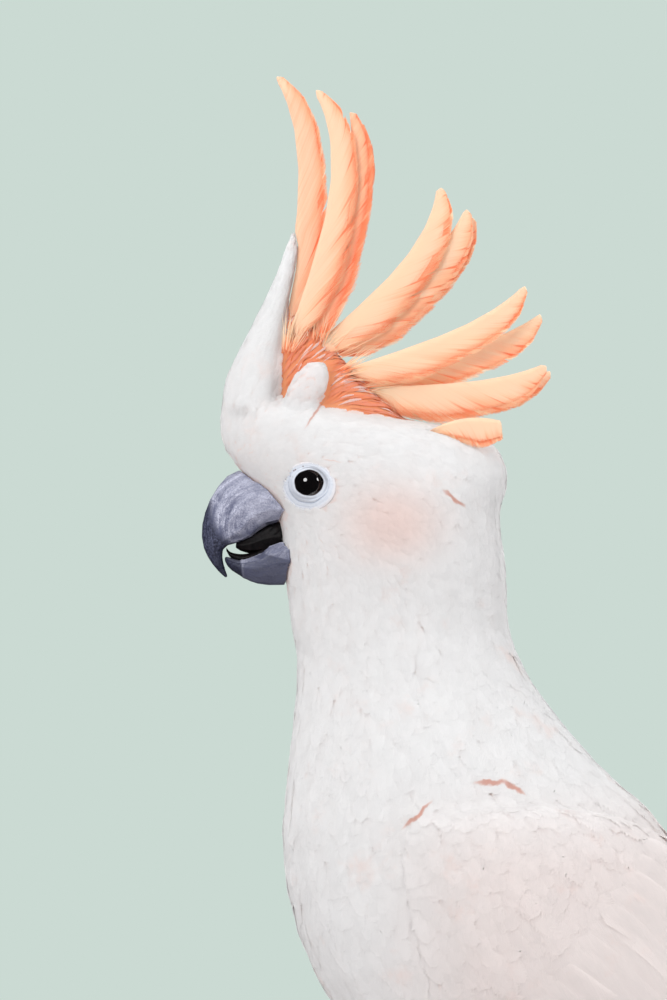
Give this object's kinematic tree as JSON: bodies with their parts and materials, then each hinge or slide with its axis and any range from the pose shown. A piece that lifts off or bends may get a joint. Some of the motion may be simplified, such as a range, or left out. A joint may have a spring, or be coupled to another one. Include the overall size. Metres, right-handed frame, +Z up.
{
  "type": "cockatoo",
  "caption": "Life-size white cockatoo standing still with its head up, orange crest raised, wings folded and toes spread, shaped as a museum model.",
  "frame": {"origin": "middle of the bottom of the whole bird's bounding box, on the floor under the feet", "axes": "+Z up, -X the way the bird faces, the mirror plane at Y = 0 with the bird's left side at -Y"},
  "size_m": [0.253, 0.0936, 0.3798],
  "materials": {
    "white_feather": "soft matt white feather with a faint salmon tint where it parts",
    "crest_peach": "matt peach feather, deeper orange at the root and at the edge away from the shaft",
    "crest_orange": "matt deep orange down",
    "bill": "slate-grey horn with fine pale scratches and a soft sheen",
    "tongue": "dark moist flesh",
    "eye": "glossy near-black eye",
    "leg_skin": "matt grey scaly skin",
    "claw": "smooth dark horn"
  },
  "bodies": {
    "root": {"head": "white_feather", "neck": "white_feather", "trunk": "white_feather", "tail": "white_feather", "wing_left": "white_feather", "wing_right": "white_feather", "thigh_left": "white_feather", "thigh_right": "white_feather", "foot_left": "leg_skin", "foot_right": "leg_skin", "claw_left_outer_front": "claw", "claw_left_inner_front": "claw", "claw_left_outer_back": "claw", "claw_left_inner_back": "claw", "claw_right_outer_front": "claw", "claw_right_inner_front": "claw", "claw_right_outer_back": "claw", "claw_right_inner_back": "claw", "bill_upper": "bill", "bill_lower": "bill", "tongue": "tongue", "eye_left": "eye", "eye_right": "eye", "forehead_tuft": "white_feather", "crest_bed": "crest_orange", "crown_lobe_left": "white_feather", "crown_lobe_right": "white_feather", "nape_leaf_left": "crest_peach", "nape_leaf_right": "crest_peach", "crest_feather_01": "crest_peach", "crest_feather_02": "crest_peach", "crest_feather_03": "crest_peach", "crest_feather_04": "crest_peach", "crest_feather_05": "crest_peach", "crest_feather_06": "crest_peach", "crest_feather_07": "crest_peach", "crest_feather_08": "crest_peach", "crest_feather_09": "crest_peach", "crest_feather_10": "crest_peach", "crest_feather_11": "crest_peach"}
  },
  "joints": []
}
